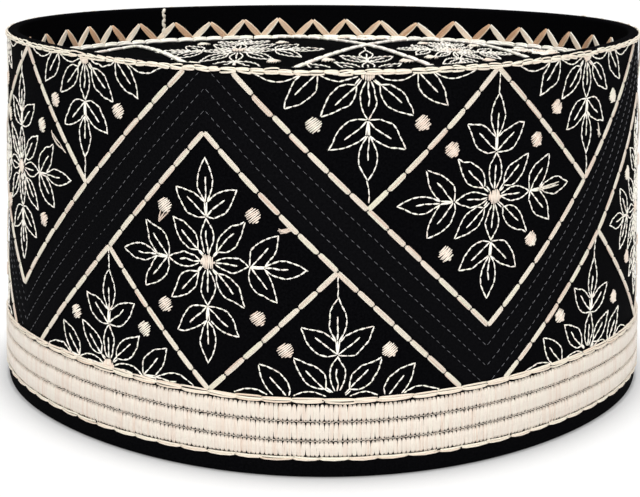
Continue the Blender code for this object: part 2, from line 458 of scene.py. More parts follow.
# The thread of the lattice bars is a duller cream, and that of the fine stitches nearly white.
bar_thread = thread_finish("cream_cotton_bar_thread", "#D6C0AF", "#E3D9CB", "#DEDAC6", 0.5)
cream_thread = thread_finish("ivory_cotton_two_ply", "#F6E8DC", "#FFFAF0", "#FBF8E6", 0.5)


def spin(centre, outward, half_width, half_height, tone, sides=5, flat_top=False):
    """Round threads that taper to a point at both ends: centre is (threads, stations, 3).

    The map runs along the thread in mm and once round it.
    """
    threads, stations = centre.shape[:2]
    rings = stations - 2
    forward = unit(np.gradient(centre, axis=1))
    across = unit(np.cross(forward, np.broadcast_to(outward, centre.shape)))
    lift = np.cross(across, forward)
    turn = math.pi * (2 * np.arange(sides) + int(flat_top)) / sides + math.pi / 2
    half_width = np.broadcast_to(half_width, (threads, stations))[:, 1:-1, None, None]
    half_height = np.broadcast_to(half_height, (threads, stations))[:, 1:-1, None, None]
    ring = (centre[:, 1:-1, None] + half_width * np.cos(turn)[:, None] * across[:, 1:-1, None]
            + half_height * np.sin(turn)[:, None] * lift[:, 1:-1, None])
    points = np.concatenate([centre[:, :1], ring.reshape(threads, -1, 3), centre[:, -1:]], axis=1)
    side = np.arange(sides)
    after = (side + 1) % sides
    last = 1 + rings * sides
    end = 1 + (rings - 1) * sides
    tips = np.concatenate([np.stack([0 * side, 1 + side, 1 + after], -1),
                           np.stack([0 * side + last, end + after, end + side], -1)])
    low = 1 + np.arange(rings - 1)[:, None] * sides
    walls = np.stack([low + side, low + sides + side, low + sides + after, low + after], -1)
    one = np.concatenate([tips.ravel(), walls.ravel()])
    station = np.concatenate([
        [0, 1, 1] * sides, [stations - 1, rings, rings] * sides,
        np.repeat(np.arange(rings - 1), 4 * sides) + np.tile([1, 2, 2, 1], (rings - 1) * sides)])
    round_it = np.concatenate([np.stack([side, side, side + 1], -1).ravel(),
                               np.stack([side, side + 1, side], -1).ravel(),
                               np.broadcast_to(np.stack([side, side, side + 1, side + 1], -1),
                                               (rings - 1, sides, 4)).ravel()]) / sides
    corners = one[None] + (np.arange(threads) * points.shape[1])[:, None]
    gaps = np.linalg.norm(np.diff(centre, axis=1), axis=2)
    length = np.concatenate([np.zeros((threads, 1)), np.cumsum(gaps, axis=1)], axis=1)
    corner_map = np.stack([length[:, station], np.broadcast_to(round_it, (threads, len(one)))], -1)
    counts = np.tile(np.array([3] * (2 * sides) + [4] * ((rings - 1) * sides)), threads)
    tones = np.repeat(np.broadcast_to(tone, threads), 2 * sides + (rings - 1) * sides)
    return points.reshape(-1, 3), corners.ravel(), counts, corner_map.reshape(-1, 2), tones


def join_threads(name, parts, finish, slot, *nodes):
    """One mesh from several lots of threads, in place of the solids named last. slot is not used.
    """
    first, corners = 0, []
    for part in parts:
        corners.append(part[1] + first)
        first += len(part[0])
    piece = add_mesh(name, np.concatenate([p[0] for p in parts]), np.concatenate(corners),
                     np.concatenate([p[2] for p in parts]), finish,
                     np.concatenate([p[3] for p in parts]), np.concatenate([p[4] for p in parts]))
    if nodes:
        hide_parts(*nodes)


STITCH_STATIONS = np.array([0.0, 0.05, 0.5, 0.95, 1.0])
STITCH_WIDTH = np.array([0.0, 0.62, 1.0, 0.62, 0.0])
STITCH_LIFT = np.array([0.0, 0.55, 1.0, 0.55, 0.0])


def sew(start, end, width, lift, tone, place, outward, sides=5, ground=0.0, flat_top=False):
    """Stitches between (u, v) points of a cloth, arched over it and diving in at both ends."""
    start, end = np.asarray(start, float), np.asarray(end, float)
    path = start[:, None] + (end - start)[:, None] * STITCH_STATIONS[None, :, None]
    width = np.broadcast_to(np.asarray(width, float), len(start))[:, None]
    centre = place(path[..., 0], path[..., 1], ground + STITCH_LIFT[None] * lift
                   + 0 * path[..., 0])
    return spin(centre, outward(path[..., 0], path[..., 1]), width / 2 * STITCH_WIDTH[None],
                width * 0.42 * STITCH_WIDTH[None], tone, sides, flat_top)


# Quilting of the side band: machine stitches in black thread, a little glossier than the cloth,
# coloured mid grey as a painted highlight: each shows as a thin grey dash between two dark needle
# holes.
QUILT_STITCH = 2.1
QUILT_HOLE = 0.8
QUILT_THREAD = 0.21
QUILT_DRIFT = 0.05          # how far a needle hole strays
QUILT_LIFT = 0.18
QUILT_SUNK = 0.30           # the stitches lie this deep, in their furrow
# The mid grey base colour on black thread is a painted highlight.
quilt_thread, _ = new_finish("black_polyester_quilting_thread_painted_highlight", "#6E6E72", 0.45,
                             Specular_IOR_Level=0.2)


def running(u0, v0, u1, v1, stitch, hole):
    """Starts and ends of the stitches along a straight line."""
    count = max(1, round(math.hypot(u1 - u0, v1 - v0) / stitch))
    cuts = np.linspace(0, 1, count + 1)
    ends = np.array([u0, v0]) + cuts[:, None] * np.array([u1 - u0, v1 - v0])
    inset = unit(np.array([u1 - u0, v1 - v0], float)) * hole / 2
    return ends[:-1] + inset, ends[1:] - inset


hops = [running(*row, QUILT_STITCH, QUILT_HOLE) for row in quilt_rows]
hop_start = np.concatenate([hop[0] for hop in hops])
hop_start = hop_start + chance.normal(0, QUILT_DRIFT, hop_start.shape)
hop_end = np.concatenate([hop[1] for hop in hops])
join_threads("side_band_quilting", [sew(
    hop_start, hop_end, QUILT_THREAD * chance.uniform(0.8, 1.2, len(hop_start)), QUILT_LIFT,
    chance.uniform(0, 1, len(hop_start)), wall_place, wall_outward, sides=3,
    ground=-QUILT_SUNK)], quilt_thread, "black_cotton")

# Cream lines of the side band: four threads laid side by side and sewn down every 7 mm or so,
# which nips them into bars with narrow rounded ends.
BAR_LENGTH = 6.8
BAR_GAP = 0.10
BAR_THREADS = 4
BAR_WIDTH = 1.58
BAR_LIFT = 0.32
BAR_FILL = 0.95             # a thread's width, as a share of its part of the bar
BAR_SPREAD = 0.88           # how much of the bar's width the threads' middles take up
BAR_STRAY = 0.07            # how uneven the bars' ends and middles are
BAR_TONES = (0.45, 0.80)    # 0 is the pinkest, 1 the greenest
# Painted shade: some threads are coloured pinker and darker, standing for the shade between a bar's
# threads.
SHADE_STREAK_SHARE = 0.2          # threads that are pinker than the rest of their bar
SHADE_STREAK_DEPTH = 0.45
BAR_STATIONS = np.array([0.0, 0.012, 0.09, 0.5, 0.91, 0.988, 1.0])
BAR_NIP = np.array([0.52, 0.62, 0.93, 1.0, 0.93, 0.62, 0.52])   # how threads draw together
BAR_RISE = np.array([0.0, 0.6, 0.95, 1.0, 0.95, 0.6, 0.0])
BAR_ROUND = np.array([0.0, 0.75, 0.98, 1.0, 0.98, 0.75, 0.0])


def bars(lines, place, outward, width=BAR_WIDTH, length=BAR_LENGTH, lift=BAR_LIFT, tall=1.25):
    """Couched bars along straight lines of a cloth, each given as (u, v, u, v)."""
    start, end, across, tone = [], [], [], []
    for u0, v0, u1, v1 in lines:
        reach = math.hypot(u1 - u0, v1 - v0)
        count = max(1, round(reach / length))
        cuts = np.linspace(0, 1, count + 1)
        cuts[1:-1] += chance.normal(0, BAR_STRAY, count - 1) / count
        line = np.array([u0, v0]) + cuts[:, None] * np.array([u1 - u0, v1 - v0])
        along = np.array([u1 - u0, v1 - v0]) / reach
        for a, b in zip(line[:-1], line[1:]):
            bar_tone = chance.uniform(*BAR_TONES)
            sway = chance.normal(0, BAR_STRAY)
            for number in range(BAR_THREADS):
                side = (number + 0.5) / BAR_THREADS - 0.5
                inset = BAR_GAP / 2 + abs(chance.normal(0, 0.12))
                start.append(a + along * inset)
                end.append(b - along * inset)
                across.append((side * width * BAR_SPREAD + sway)
                              * np.array([-along[1], along[0]]))
                # Painted shade between threads: a darker tone for some threads.
                shade_streak = SHADE_STREAK_DEPTH * (chance.random() < SHADE_STREAK_SHARE)
                tone.append(np.clip(bar_tone - shade_streak + chance.normal(0, 0.22), 0, 1))
    start, end, across = np.array(start), np.array(end), np.array(across)
    path = start[:, None] + (end - start)[:, None] * BAR_STATIONS[None, :, None]
    path = path + across[:, None] * BAR_NIP[None, :, None]
    shape = BAR_ROUND * width / BAR_THREADS * BAR_FILL / 2
    centre = place(path[..., 0], path[..., 1], BAR_RISE[None] * lift + 0 * path[..., 0])
    return spin(centre, outward(path[..., 0], path[..., 1]), shape[None], shape[None] * tall,
                np.array(tone))


join_threads("side_band_couched_lines", [bars(cream_lines, wall_place, wall_outward)],
             bar_thread, "cream_thread")

# Flowers of the side band: leaves in running stitch, with satin-stitched buds and hearts.
# Each diamond holds a whole flower, and half flowers grow from the rim and the satin band.
OUTLINE_WIDTH = 0.46
VEIN_WIDTH = 0.50
STITCH_LIFT_UP = 0.16
STITCH_JITTER = 0.13
BUD_RADIUS = 1.95
HEART_RADIUS = 1.85
BUD_LIFT = 0.42
SATIN_PITCH = 0.50          # mm between the threads of a satin-stitched bud
BUD_SLANT = 38.0            # degrees from level
HEART_SLANT = 88.0
HEART_TONE = 0.35
SPOT_RAGGED = (-0.10, 0.38)     # how far past the spot's outline its stitches reach


def leaf_side(base, tip, bulge, peak, stitches):
    """One side of a leaf, from its base to its tip, as the needle holes along it."""
    base, tip = np.array(base, float), np.array(tip, float)
    share = np.linspace(0, 1, stitches + 1)
    swell = np.sin(math.pi * share ** (math.log(0.5) / math.log(peak)))
    along = (tip - base) / np.linalg.norm(tip - base)
    return base + share[:, None] * (tip - base) + (
        bulge * swell[:, None] * np.array([-along[1], along[0]]))


def upright_arm(stem):
    """The lines of the flower's upper arm, each as (needle holes, thread width)."""
    arm = [(leaf_side((-0.5, 2.2), (0, 11.8), 1.75, 0.50, 6), OUTLINE_WIDTH),
           (leaf_side((0.5, 2.2), (0, 11.8), -1.75, 0.50, 6), OUTLINE_WIDTH),
           (leaf_side((0, 2.1), (0, 8.4), 0.05, 0.5, 3), VEIN_WIDTH),
           (leaf_side((-0.15, 15.8), (0, 27.4), 2.2, 0.48, 6), OUTLINE_WIDTH),
           (leaf_side((0.15, 15.8), (0, 27.4), -2.2, 0.48, 6), OUTLINE_WIDTH),
           (leaf_side((0, 15.9), (0, 22.4), 0.0, 0.5, 3), VEIN_WIDTH)]
    for hand in (-1, 1):
        arm.append((leaf_side((hand * 0.1, 12.0), (hand * 9.0, 19.5), hand * -2.8, 0.42, 7),
                    OUTLINE_WIDTH))
        arm.append((leaf_side((hand * 0.45, 15.8), (hand * 9.0, 19.5), hand * 0.95, 0.48, 5),
                    OUTLINE_WIDTH))
        arm.append((leaf_side((hand * 0.2, 12.2), (hand * 5.6, 17.0), 0.0, 0.5, 3), VEIN_WIDTH))
    for fan in (-0.42, 0.0, 0.42):
        arm.append((np.array([(fan * 0.3, 12.1), (fan, 15.9)]), VEIN_WIDTH))
    if stem:
        arm.append((leaf_side((0, 27.4), (0, 33.6), 0.1, 0.5, 3), OUTLINE_WIDTH * 0.9))
    return arm


def slanting_arm():
    """The lines of the leaf that points up and to the right, below its bud."""
    return [(leaf_side((2.9, 2.8), (11.0, 10.9), 2.45, 0.40, 7), OUTLINE_WIDTH),
            (leaf_side((2.9, 2.8), (11.0, 10.9), -2.55, 0.40, 7), OUTLINE_WIDTH),
            (leaf_side((1.5, 1.5), (7.8, 8.0), 0.1, 0.5, 4), VEIN_WIDTH),
            (np.array([(1.9, 1.2), (3.1, 2.6)]), OUTLINE_WIDTH)]


def quarter_turn(points, turns):
    """Points turned anticlockwise about the flower's heart."""
    for _ in range(turns):
        points = np.stack([-points[..., 1], points[..., 0]], -1)
    return points


def leaning(points, degrees, grow):
    """Points of an arm leant over about the flower's heart, then scaled in width and height."""
    lean = math.radians(degrees)
    turned = np.stack([points[..., 0] * math.cos(lean) - points[..., 1] * math.sin(lean),
                       points[..., 0] * math.sin(lean) + points[..., 1] * math.cos(lean)], -1)
    return turned * grow


def flower_stitches(flower):
    """Start, end, width and tone of each running stitch of a flower."""
    start, end, width, tone = [], [], [], []
    for turns in range(4):
        for holes, thread in upright_arm(turns in flower.stems) + slanting_arm():
            holes = leaning(quarter_turn(holes, turns), flower.leans[turns], flower.grow)
            holes = holes + chance.normal(0, STITCH_JITTER, holes.shape)
            holes = holes + np.array([flower.along, flower.height])
            hop = np.diff(holes, axis=0)
            short = unit(hop) * 0.03
            start.append(holes[:-1] + short)
            end.append(holes[1:] - short)
            count = len(hop)
            width.append(thread * chance.uniform(0.85, 1.12, count))
            tone.append(np.clip(chance.normal(0.55, 0.2, count), 0, 1))
    return [np.concatenate(each) for each in (start, end, width, tone)]


def satin_spot(u, v, radius, slant, tone):
    """Start, end, width and tone of the parallel stitches that fill a round spot."""
    rows = np.arange(-radius, radius + 0.01, SATIN_PITCH)
    chord = np.sqrt(np.maximum(radius ** 2 - rows ** 2, 0.12))
    half = chord + chance.uniform(*SPOT_RAGGED, len(rows))
    other = chord + chance.uniform(*SPOT_RAGGED, len(rows))
    angle = math.radians(slant) + chance.normal(0, 0.05, len(rows))
    forward = np.stack([np.cos(angle), np.sin(angle)], -1)
    across = np.array([-math.sin(math.radians(slant)), math.cos(math.radians(slant))])
    middle = np.array([u, v]) + rows[:, None] * across
    tones = np.clip(tone + chance.normal(0, 0.15, len(rows)), 0, 1)
    return (middle - forward * half[:, None], middle + forward * other[:, None],
            SATIN_PITCH * chance.uniform(1.05, 1.30, len(rows)), tones)


def flower_spots(flower, heart=True):
    """The satin-stitched heart and four buds of a flower."""
    spots = []
    if heart:
        spots.append(satin_spot(flower.along, flower.height, HEART_RADIUS, HEART_SLANT, HEART_TONE))
    for across, up in flower.buds:
        spots.append(satin_spot(flower.along + across, flower.height + up,
                                BUD_RADIUS, BUD_SLANT, chance.uniform(0.2, 0.8)))
    return together(spots)


def together(lots):
    """Several lots of stitches, each (start, end, width, tone), as one."""
    return [np.concatenate(each) for each in zip(*lots)]


def between(stitches, low, high):
    """The stitches that lie between two heights, cut off where they cross one."""
    start, end, width, tone = [each.copy() for each in stitches]
    for limit, sign in ((low, 1), (high, -1)):
        for here, there in ((start, end), (end, start)):
            beyond = (here[:, 1] - limit) * sign < 0
            rise = there[:, 1] - here[:, 1]
            share = np.clip((limit - here[:, 1]) / np.where(abs(rise) < 1e-6, 1e-6, rise), 0, 1)
            moved = here + share[:, None] * (there - here)
            here[beyond] = moved[beyond]
    keep = np.linalg.norm(end - start, axis=1) > 0.25
    return start[keep], end[keep], width[keep], tone[keep]


# A flower's place, its arms with a stem at the tip, how far each arm leans (up, left, down,
# right, in degrees), its scale in width and height, and its buds from the heart.
Flower = namedtuple("Flower", "along height stems leans grow buds")
UP, DOWN = 0, 2             # an arm's number, anticlockwise from the upper one
EVEN = (0.0, 0.0, 0.0, 0.0)
V_GROW = np.array([0.97, 0.985])
ROOF_GROW = np.array([0.945, 0.985])


def four_buds(grow):
    """Where the buds of a flower lie, from its heart."""
    corners = np.array([(1, 1), (-1, 1), (-1, -1), (1, -1)])
    return corners * np.array([12.7, 12.8]) * grow + chance.normal(0, 0.35, (4, 2))


# The flowers that the photo shows, by their number in the list below: their place, the lean of
# their arms, their scale in width, and their buds, from the upper right one anticlockwise.
SEEN_FLOWERS = (
    (0, -108.1, 70.4, (0.0, 0.0, 3.5, 2.0), 1.13,
     ((15.4, 14.1), (-13.8, 13.0), (-13.8, -12.5), (16.5, -12.3))),
    (1, 46.2, 72.0, (-2.9, 0.7, -4.5, 0.5), 1.01,
     ((14.6, 13.6), (-12.8, 13.5), (-14.4, -13.5), (12.7, -13.0))),
    (4, -29.6, 56.3, (2.1, -0.7, 0.4, -1.75), 0.945,
     ((12.0, 13.0), (-12.6, 13.6), (-12.3, -12.8), (13.4, -13.8))),
    (9, -70.9, 105.7, EVEN, 1.03, ((13.2, 12.9), (-13.2, 12.9), (-14.1, -13.1), (13.2, -12.9))),
    (10, 11.1, 105.7, EVEN, 1.07, ((13.6, 12.9), (-13.6, 12.9), (-13.6, -12.8), (14.1, -12.9))),
    (11, 82.7, 105.7, EVEN, 1.06, ((13.6, 12.9), (-13.6, 12.9), (-14.0, -12.5), (15.4, -12.9))),
    (16, -61.2, 22.8, EVEN, 1.01, ((12.7, 13.0), (-13.4, 12.6), (-13.0, -13.0), (13.0, -13.0))),
    (17, 3.8, 21.5, EVEN, 1.01, ((13.1, 12.9), (-13.0, 12.9), (-13.0, -13.0), (13.0, -13.0))),
    (18, 84.4, 21.6, (-7.0, 0.0, 0.0, 0.0), 1.03,
     ((16.0, 12.8), (-13.5, 13.9), (-13.0, -13.0), (13.0, -13.0))),
)
flowers = [Flower(d.middle, d.middle_height, (UP,), EVEN, V_GROW, four_buds(V_GROW))
           for d in V_DIAMONDS]
flowers += [Flower(d.middle, d.middle_height, (), EVEN, ROOF_GROW, four_buds(ROOF_GROW))
            for d in ROOF_DIAMONDS]
flowers += [Flower(along, RIM_LINE + 0.3, (DOWN,), EVEN, V_GROW, four_buds(V_GROW))
            for d in V_DIAMONDS for along in (d.left, d.right)]
flowers += [Flower(along, BAND_LINE - 0.6, (UP,), EVEN, V_GROW, four_buds(V_GROW))
            for d in ROOF_DIAMONDS for along in (d.left, d.right)]
for number, along, height, leans, wide, buds in SEEN_FLOWERS:
    flowers[number] = flowers[number]._replace(
        along=along, height=height, leans=leans, grow=np.array([wide, 0.985]), buds=buds)
PATTERN_FOOT = BAND_LINE + 0.2
PATTERN_HEAD = RIM_LINE + 0.2
leaves, spots = [], []
for flower in flowers:
    leaves.append(between(flower_stitches(flower), PATTERN_FOOT, PATTERN_HEAD))
    at_band = flower.height < BAND_LINE
    spots.append(between(flower_spots(flower, not at_band), PATTERN_FOOT, PATTERN_HEAD))
start, end, width, tone = together(leaves)
join_threads("side_band_leaves", [sew(
    start, end, width, STITCH_LIFT_UP, tone, wall_place, wall_outward)],
    cream_thread, "cream_thread")
# Soft cotton laid flat and close: a warmer cream than the outlines, with a broader sheen.
bud_thread = thread_finish("cream_cotton_satin_stitch", "#E6CFBD", "#F3E6D7", "#EFEAD8", 0.45)
start, end, width, tone = together(spots)
join_threads("side_band_buds", [sew(
    start, end, width, BUD_LIFT, tone, wall_place, wall_outward, sides=4, flat_top=True)],
    bud_thread, "cream_thread")

# Loose ends: a few threads of the embroidery were cut long, and lie caught down beside their
# leaf. They are of the same cotton as the lattice bars.
LOOSE_ENDS = (
    (-43.3, 68.6, -44.0, 65.2), (-41.0, 68.1, -44.0, 65.2), (-42.2, 68.0, -43.9, 65.6),
    (-11.4, 65.7, -7.9, 66.5), (-10.7, 65.0, -7.5, 66.0), (-9.5, 65.1, -8.4, 66.6),
    (-11.1, 66.3, -8.8, 65.2), (-11.0, 65.4, -8.0, 66.1),
    (-87.3, 83.9, -85.0, 80.7), (-85.0, 80.7, -80.3, 79.3), (-86.5, 83.1, -82.6, 80.8),
    (-82.6, 80.8, -79.6, 78.6), (-86.0, 82.0, -83.0, 79.9),
    (89.0, 86.5, 89.7, 82.1), (88.4, 84.6, 90.7, 82.6), (89.3, 85.2, 89.0, 82.9),
    (60.7, 72.2, 70.3, 72.9), (61.6, 71.8, 70.1, 72.1),
)                           # along, height, along, height
loose = np.array(LOOSE_ENDS)
LOOSE_WIDTH = 0.45
LOOSE_LIFT = 0.35
join_threads("side_band_loose_ends", [sew(
    loose[:, :2], loose[:, 2:], LOOSE_WIDTH, LOOSE_LIFT, np.linspace(0.0, 0.6, len(loose)),
    wall_place, wall_outward)], bar_thread, "cream_thread")


# Satin band: three rows of upright satin stitch round the bottom. The threads draw together
# in bunches at the needle holes, so each divide shows two dotted lines with a thread between.
BAND_TOP = 20.60            # upper ends of the top row, just under the border
BAND_BOTTOM = 5.85
DIVIDES = (15.75, 10.55)
BUNCH_PITCH = 1.15          # mm round the rim between the bunches
BUNCH_THREADS = 3
BUNCH_DRAW = (0.34, 0.62)   # how near the threads of a bunch come at its ends
CRACKED_SHARE = 0.10        # bunches that stand a little apart from the next
CRACKED_WIDTH = 0.86
SATIN_LIFT = 0.62
SATIN_FILL = 0.78           # half a thread's width, as a share of its part of the bunch
SATIN_FLAT = 0.30           # half its height, in mm
SATIN_STATIONS = np.array([0.0, 0.015, 0.17, 0.5, 0.83, 0.985, 1.0])
SATIN_RISE = np.array([0.15, 0.50, 0.92, 1.0, 0.92, 0.50, 0.15])
SATIN_ROUND = np.array([0.0, 0.80, 1.0, 1.04, 1.0, 0.80, 0.0])
ROW_GAP = 0.27              # from the ends of a row to the middle of the divide
BAND_SWELL = 0.95           # the rows ride higher between the cap's four faint points


def band_swell(along):
    """How much higher the rows of the band lie here than on average."""
    along = (along + GIRTH / 2) % GIRTH - GIRTH / 2
    turn = np.interp(along, along_table, turn_table)
    return BAND_SWELL * (0.18 - 0.5 * np.cos(4 * turn))


# Untwisted rayon floss: smoother than the cotton, with a soft shine across the whole row.
satin_thread = thread_finish("ivory_rayon_satin_stitch", "#DCC8B7", "#E4D9CC", "#E6DFD0", 0.4)
bunches = round(GIRTH / BUNCH_PITCH)
bunch_step = GIRTH / bunches
satin_rows = []
row_edges = (BAND_TOP, *DIVIDES, BAND_BOTTOM)
for top, bottom in zip(row_edges[:-1], row_edges[1:]):
    draw = chance.uniform(*BUNCH_DRAW, (2, bunches, 1))
    cracked = chance.random((bunches, 1)) < CRACKED_SHARE
    full = np.where(cracked, CRACKED_WIDTH, chance.uniform(0.95, 1.02, (bunches, 1)))
    spot = (np.arange(bunches)[:, None] + 0.5) * bunch_step
    offset = ((np.arange(BUNCH_THREADS) + 0.5) / BUNCH_THREADS - 0.5)[None] * bunch_step
    offset = offset + chance.normal(0, 0.02, (bunches, BUNCH_THREADS))
    lean = chance.normal(0, 0.07, (bunches, 1))
    shares = (draw[0], draw[0], 0.92 * full, full, 0.92 * full, draw[1], draw[1])
    tilts = (1.0, 1.0, 0.7, 0.0, -0.7, -1.0, -1.0)
    along = np.stack([(spot + offset * share + lean * tilt).ravel()
                      for share, tilt in zip(shares, tilts)], -1) - GIRTH / 2
    reach = chance.normal(0, 0.07, (2, along.shape[0]))
    swell = band_swell(along[:, 3])
    high = top - ROW_GAP + reach[0] + swell
    low = bottom + ROW_GAP + reach[1] + swell * (bottom > BAND_BOTTOM)
    height = high[:, None] + (low - high)[:, None] * SATIN_STATIONS[None]
    centre = wall_place(along, height, SATIN_RISE[None] * SATIN_LIFT + 0 * along)
    width = bunch_step / BUNCH_THREADS * SATIN_FILL * SATIN_ROUND
    tone = np.repeat(chance.uniform(0.35, 0.65, bunches), BUNCH_THREADS)
    tone = np.clip(tone + chance.normal(0, 0.16, len(tone)), 0, 1)
    satin_rows.append(spin(centre, wall_outward(along, height), width[None],
                           SATIN_FLAT * SATIN_ROUND[None], tone, sides=4, flat_top=True))
join_threads("satin_band_threads", satin_rows, satin_thread, "satin_thread", "satin_band")

# The thread that runs along each divide, over and under from one needle hole to the next.
DIVIDE_WIDTH = 0.26
DIVIDE_LIFT = 0.42
divide_hops = []
for height in DIVIDES:
    holes = np.arange(bunches) * bunch_step
    level = height + band_swell(holes) + chance.normal(0, 0.05, bunches)
    here = np.stack([holes, level], -1)
    there = np.stack([holes + bunch_step, np.roll(level, -1)], -1)
    divide_hops.append((here, there))
start, end = together(divide_hops)
join_threads("satin_band_divides", [sew(
    start, end, DIVIDE_WIDTH, DIVIDE_LIFT, chance.uniform(0.2, 0.8, len(start)),
    wall_place, wall_outward, sides=4)], satin_thread, "satin_thread")

# Borders of the satin band: long thread bundles couched along its two edges. The upper one is
# three loose strands; the lower is two, and sags between its stitches into a scalloped edge.
UPPER_BORDER = 21.50
LOWER_BORDER = 5.50
BORDER_BAR = 7.4            # from one couching stitch to the next
# A strand's tone places it on the cord's ramp, between the tan of painted shade and lit cream.
UPPER_STRANDS = ((0.60, 0.54, 0.50, 0.22), (0.02, 0.56, 0.80, 0.28), (-0.58, 0.54, 0.55, 0.22))
LOWER_STRANDS = ((0.29, 0.56, 0.85, 0.22), (-0.27, 0.58, 0.60, 0.22))   # offset, width, tone, lift
LOWER_SAG = 0.14
CORD_STATIONS = np.array([-0.015, 0.0, 0.14, 0.5, 0.86, 1.0, 1.015])
CORD_ROUND = np.array([0.0, 0.80, 0.97, 1.0, 0.97, 0.80, 0.0])
CORD_RISE = 0.35            # how far a strand rises between two couching stitches
# Loosely twisted cotton of several plies, coloured with painted light: tan for shade in its
# hollows, cream for its lit back.
border_thread = thread_finish("cream_cotton_couched_cord", "#D6B89F", "#EBDCCB", "#EFE8D6", 0.5)


def couched_cord(height, bar, strands, sag, weave, place, outward, girth, seed, swell=0.0):
    """Bundles laid end to end round the cap. strands are (offset, width, tone, lift).

    sag is how far they hang between two stitches, and weave how far they stray.
    """
    cast = np.random.default_rng(seed)
    count = round(girth / bar)
    cuts = (np.arange(count + 1) + np.append(cast.normal(0, 0.06, count), 0)) * girth / count
    cuts[-1] = cuts[0] + girth
    hump = np.sin(math.pi * np.clip(CORD_STATIONS, 0, 1))
    parts = []
    for offset, width, tone, raised in strands:
        along = cuts[:-1, None] + (cuts[1:] - cuts[:-1])[:, None] * CORD_STATIONS[None]
        along = along + cast.normal(0, 0.25, (count, 1))
        sway = cast.normal(0, weave, (count, 1)) * np.cos(math.pi * CORD_STATIONS)[None]
        rise = cast.normal(0, weave, (count, 1)) + offset * (0.65 + 0.35 * hump[None] ** 0.5)
        v = height + rise + sway - sag * hump[None] + swell * band_swell(along)
        lift = (raised + CORD_RISE * hump ** 0.5)[None] + 0 * along
        shape = CORD_ROUND * width / 2
        tones = np.clip(tone + cast.normal(0, 0.15, count), 0, 1)
        parts.append(spin(place(along, v, lift), outward(along, v), shape[None],
                          shape[None] * 1.1, tones))
    return parts


join_threads("upper_border_cord", couched_cord(
    UPPER_BORDER, BORDER_BAR, UPPER_STRANDS, 0.0, 0.07, wall_place, wall_outward, GIRTH,
    seed=21, swell=1.0), border_thread, "cream_thread", "upper_border")
join_threads("lower_border_cord", couched_cord(
    LOWER_BORDER, BORDER_BAR, LOWER_STRANDS, LOWER_SAG, 0.05, wall_place, wall_outward, GIRTH,
    seed=22), border_thread, "cream_thread", "lower_border")

# Rim edging: three strands of the same cotton, whipped over each other along the outside and
# the top of the rim, so that it shows as short overlapping stitches.
RIM_CORD_HEIGHT = 105.80
RIM_BAR = 3.7
RIM_STRANDS = ((0.76, 0.44, 0.8, 0.0), (0.27, 0.52, 0.9, 0.22), (-0.27, 0.54, 0.7, 0.22))
join_threads("rim_edging_cord", couched_cord(
    RIM_CORD_HEIGHT, RIM_BAR, RIM_STRANDS, 0.0, 0.11, wall_place, wall_outward, GIRTH,
    seed=23), border_thread, "cream_thread", "rim_edging")

# Crown: a round of the same black cotton, stiffened and slightly domed, set a little below the
# rim. It is embroidered like the side band, in thicker stitches.
CROWN_EDGE_HEIGHT = 94.5
CROWN_DOME = 5.5
CROWN_THICKNESS = 2.0
SEAM_GAP = 0.3
CROWN_RINGS = 84
CROWN_COLUMNS = 320
CROWN_WAVE = 0.35
CROWN_WAVE_REACH = 55.0
CROWN_FURROW = (1.6, 0.25)  # width and depth of the dent beside a cream line
CENTRING = EGG_SHARE * RIM_RADIUS
CROWN_SHARE_UP = CROWN_EDGE_HEIGHT / CAP_HEIGHT


def crown_radius(turn):
    """How far the crown's edge lies from its middle, at a turn from the front."""
    return np.interp(turn, turn_table, radius_table) + (
        HEM_FLARE * (1 - CROWN_SHARE_UP) - CLOTH_WALL - SEAM_GAP)


def crown_place(across, back, proud=0.0):
    """Points on the crown's upper face, by how far right and how far back they lie."""
    across, back = np.asarray(across, float), np.asarray(back, float)
    turn = np.arctan2(across, CENTRING - back)
    share = np.hypot(across, back - CENTRING) / crown_radius(turn)
    lift = -RIM_DIP * CROWN_SHARE_UP * np.cos(2 * turn) * share
    return np.stack([across, back, CROWN_EDGE_HEIGHT + lift + CROWN_DOME * (1 - share ** 2)
                     + proud], axis=-1)


def crown_outward(across, back):
    return straight_out(crown_place, across, back)


def crown_edge(turn):
    """How far right and back the crown's edge lies, at a turn from the front."""
    return crown_radius(turn) * np.sin(turn), CENTRING - crown_radius(turn) * np.cos(turn)


# The cream lines of the crown, each from (right, back) to (right, back).
CROWN_LINES = (
    (14.0, 15.0, -16.0, 84.5), (14.0, 15.0, 39.7, 76.5),
    (14.0, 15.0, -5.0, -30.5), (-5.0, -30.5, -23.0, -73.6),
    (14.0, 15.0, 30.5, -28.8), (30.5, -28.8, 46.0, -71.0),
    (-61.2, 31.2, -73.0, 10.0), (-73.0, 10.0, -84.0, -9.0),
    (-61.2, 31.2, -39.8, -27.5), (-39.8, -27.5, -23.0, -73.6),
    (43.5, 75.0, 63.0, -3.0), (63.0, -3.0, 73.0, -41.0),
)
# The crown's flowers: how far right and back, their scale in width and depth, and the lean of
# their arms. Those at the front are out of the photo's sight.
CROWN_FLOWERS = (
    (-26.0, -2.0, 0.96, 1.90, (0.0, -6.0, 0.0, 4.0)), (13.0, -43.0, 0.90, 1.50, EVEN),
    (41.0, 6.0, 0.66, 1.60, EVEN), (13.6, 63.0, 0.48, 0.55, EVEN),
    (70.0, 24.0, 0.38, 0.45, EVEN), (-60.0, -34.0, 0.62, 0.70, EVEN),
    (56.0, -50.0, 0.55, 0.60, EVEN),
)
crown_turns = (np.arange(CROWN_COLUMNS) / CROWN_COLUMNS) * 2 * math.pi - math.pi
edge_right, edge_back = crown_edge(crown_turns)
ring_shares = np.linspace(1.0, 0.0, CROWN_RINGS + 1)[:-1]
crown_right = edge_right[None] * ring_shares[:, None]
crown_back = CENTRING + (edge_back - CENTRING)[None] * ring_shares[:, None]
crown_wave = slow_waves(crown_right, crown_back, CROWN_WAVE_REACH, 5) * CROWN_WAVE
crown_wave = crown_wave * (1 - ring_shares[:, None] ** 6)
